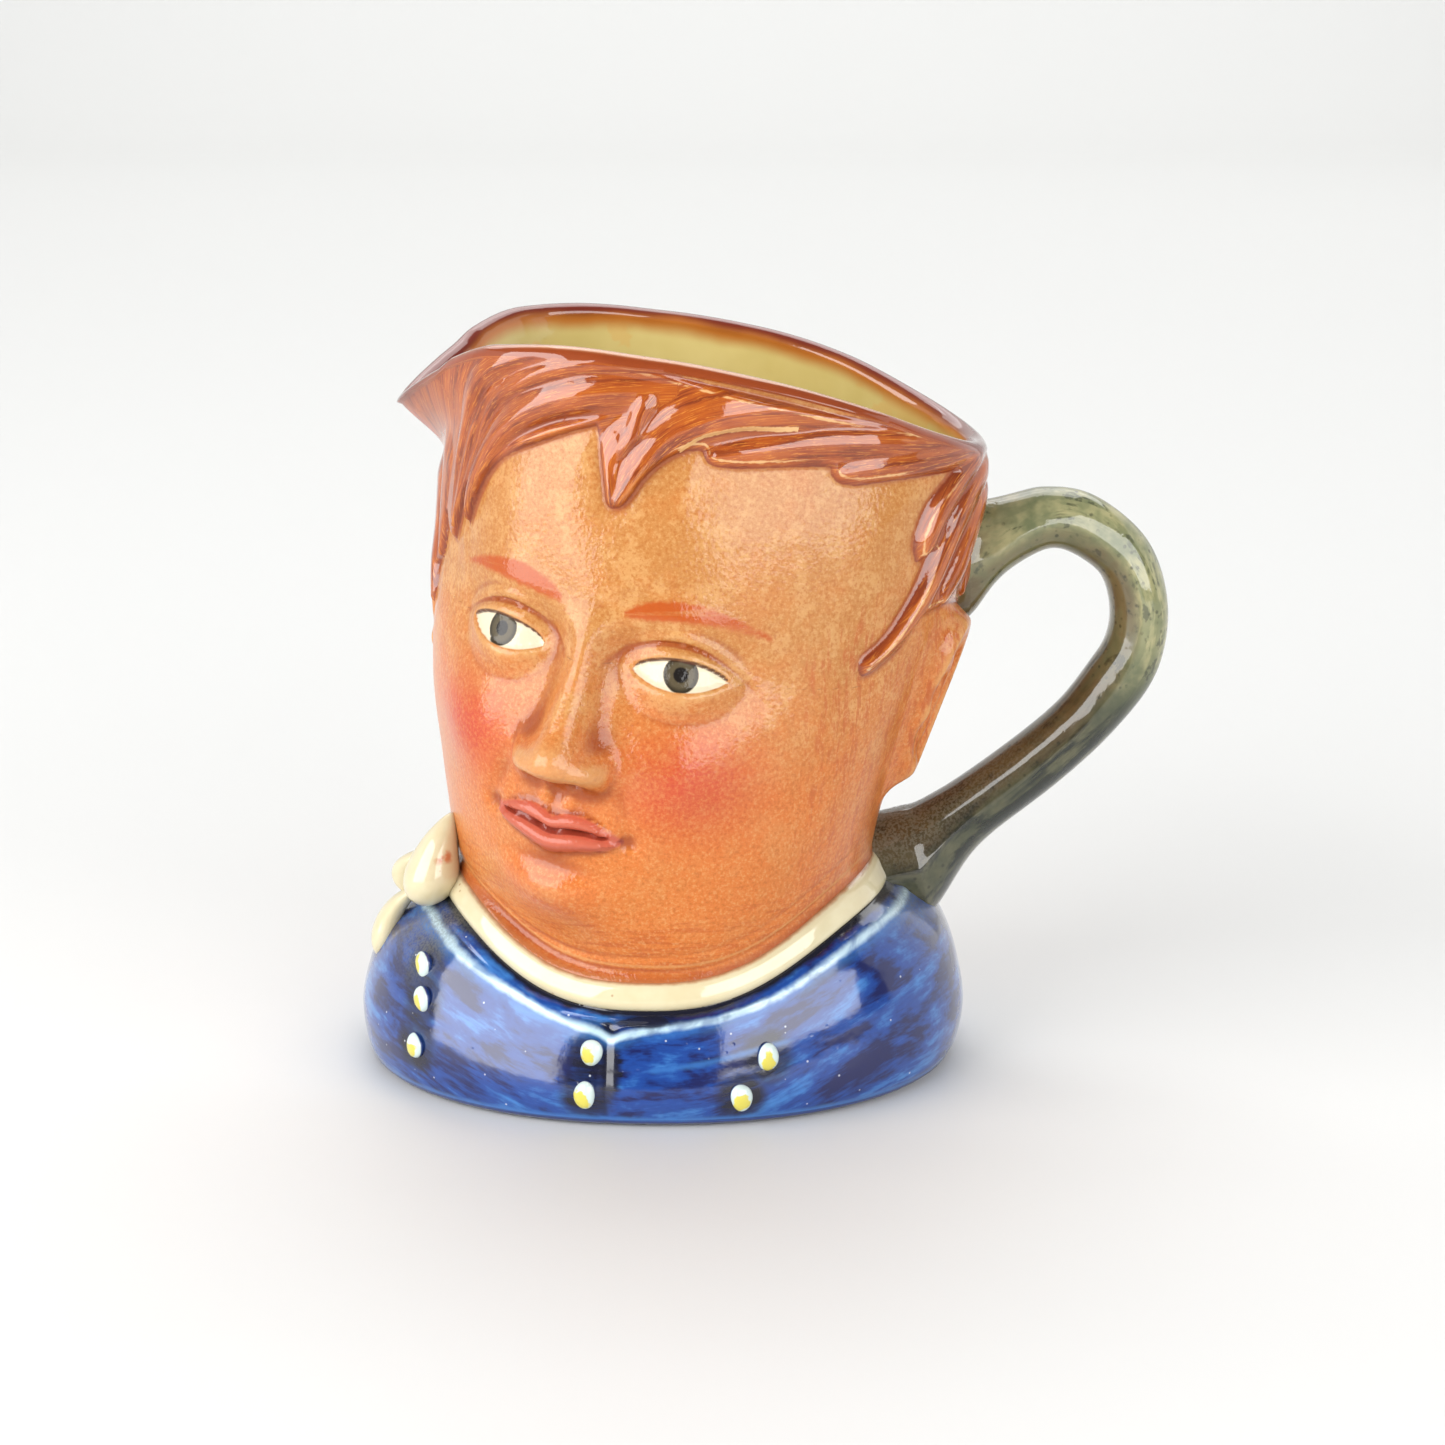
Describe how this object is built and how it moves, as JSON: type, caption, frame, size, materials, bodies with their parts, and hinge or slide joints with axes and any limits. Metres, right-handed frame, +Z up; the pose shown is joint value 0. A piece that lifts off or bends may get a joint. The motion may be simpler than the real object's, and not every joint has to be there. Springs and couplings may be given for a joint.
{
  "type": "character jug",
  "caption": "Hollow character jug: a head on coat shoulders, open at the top, with a pouring lip over one temple, a knotted kerchief and a loop handle behind one ear.",
  "frame": {"origin": "on the table, below the middle of the whole jug with its handle", "axes": "+Z up; -Y is the front, the side of the face; +X points to the handle, and the pouring lip points to -X"},
  "size_m": [0.1212, 0.0838, 0.1105],
  "materials": {
    "glazed_earthenware": "hand-painted under a clear gloss glaze: tan skin, rust hair, cream kerchief and inside, cobalt blue coat, grey-green handle; foot ring bare"
  },
  "bodies": {
    "root": {"jug": "glazed_earthenware"}
  },
  "joints": []
}
